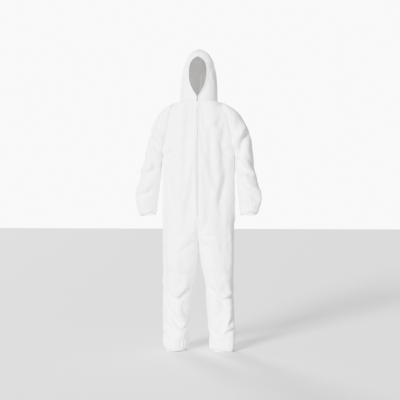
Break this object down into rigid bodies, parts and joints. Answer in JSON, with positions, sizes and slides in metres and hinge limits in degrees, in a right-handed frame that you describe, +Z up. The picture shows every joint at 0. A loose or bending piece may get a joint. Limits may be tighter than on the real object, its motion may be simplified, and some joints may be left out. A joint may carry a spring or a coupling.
{
  "type": "hooded protective coverall",
  "caption": "White disposable hooded coverall with a front zip, set-in sleeves and elasticated hood, wrists and ankles, standing as if worn.",
  "frame": {"origin": "on the plane of the ankle hems, midway between the ankles, under the wearer's shoulders", "axes": "+Z up, the front with the zip faces -Y, +X is the wearer's left"},
  "size_m": [0.722, 0.2735, 1.7503],
  "materials": {
    "body_fabric": "matt white spunbonded nonwoven with a fine embossed point pattern",
    "sleeve_fabric": "matt white spunbonded nonwoven with a fine embossed point pattern",
    "leg_fabric": "matt white spunbonded nonwoven with a fine embossed point pattern",
    "hood_fabric": "matt white spunbonded nonwoven with a fine embossed point pattern",
    "hem_fabric": "the same nonwoven, turned up double and gathered over elastic",
    "seam_binding": "serged seam allowance with white thread",
    "elastic": "covered elastic band",
    "zip_tape": "woven polyester tape, pale grey",
    "zip_coil": "nylon coil, satin",
    "zip_slider": "die-cast, lacquered pale grey",
    "zip_pull": "stamped tab, lacquered pale grey"
  },
  "bodies": {
    "torso": {"left_front_panel": "body_fabric", "right_front_panel": "body_fabric", "left_back_panel": "body_fabric", "right_back_panel": "body_fabric", "left_shoulder_seam": "seam_binding", "right_shoulder_seam": "seam_binding", "left_side_seam": "seam_binding", "right_side_seam": "seam_binding", "left_armhole_seam": "seam_binding", "right_armhole_seam": "seam_binding", "neck_seam": "seam_binding", "centre_back_seam": "seam_binding", "crotch_seam": "seam_binding", "waist_elastic": "elastic", "zip_tape_left": "zip_tape", "zip_tape_right": "zip_tape", "zip_coil_left": "zip_coil", "zip_coil_right": "zip_coil", "zip_top_stops": "zip_coil", "zip_bottom_stop": "zip_coil"},
    "hood": {"hood_left_panel": "hood_fabric", "hood_right_panel": "hood_fabric", "hood_centre_seam": "seam_binding", "face_elastic_hem": "hem_fabric"},
    "left_sleeve": {"left_sleeve": "sleeve_fabric", "left_underarm_seam": "seam_binding", "left_wrist_hem": "hem_fabric", "left_wrist_elastic": "elastic"},
    "right_sleeve": {"right_sleeve": "sleeve_fabric", "right_underarm_seam": "seam_binding", "right_wrist_hem": "hem_fabric", "right_wrist_elastic": "elastic"},
    "left_leg": {"left_leg_front": "leg_fabric", "left_leg_back": "leg_fabric", "left_inseam": "seam_binding", "left_outseam": "seam_binding", "left_ankle_hem": "hem_fabric", "left_ankle_elastic": "elastic"},
    "right_leg": {"right_leg_front": "leg_fabric", "right_leg_back": "leg_fabric", "right_inseam": "seam_binding", "right_outseam": "seam_binding", "right_ankle_hem": "hem_fabric", "right_ankle_elastic": "elastic"},
    "zip_slider": {"zip_slider": "zip_slider"},
    "zip_pull": {"zip_pull": "zip_pull"}
  },
  "joints": [
    {"name": "hood_fold", "type": "hinge", "parent": "torso", "child": "hood", "pos_m": [0, 0.094, 1.45], "axis": [-1, 0, 0], "range_deg": [0, 75]},
    {"name": "left_sleeve_lift", "type": "hinge", "parent": "torso", "child": "left_sleeve", "pos_m": [0.15, 0, 1.437], "axis": [0, -1, 0], "range_deg": [0, 75]},
    {"name": "right_sleeve_lift", "type": "hinge", "parent": "torso", "child": "right_sleeve", "pos_m": [-0.15, 0, 1.437], "axis": [0, 1, 0], "range_deg": [0, 75]},
    {"name": "left_leg_swing", "type": "hinge", "parent": "torso", "child": "left_leg", "pos_m": [0.1, 0, 0.7], "axis": [-1, 0, 0], "range_deg": [-15, 45]},
    {"name": "right_leg_swing", "type": "hinge", "parent": "torso", "child": "right_leg", "pos_m": [-0.1, 0, 0.7], "axis": [-1, 0, 0], "range_deg": [-15, 45]},
    {"name": "zip_slide", "type": "slide", "parent": "torso", "child": "zip_slider", "axis": [0, 0, -1], "range_m": [0, 0.634]},
    {"name": "zip_pull_swing", "type": "hinge", "parent": "zip_slider", "child": "zip_pull", "pos_m": [0, -0.13305, 1.429], "axis": [-1, 0, 0], "range_deg": [0, 150]}
  ]
}
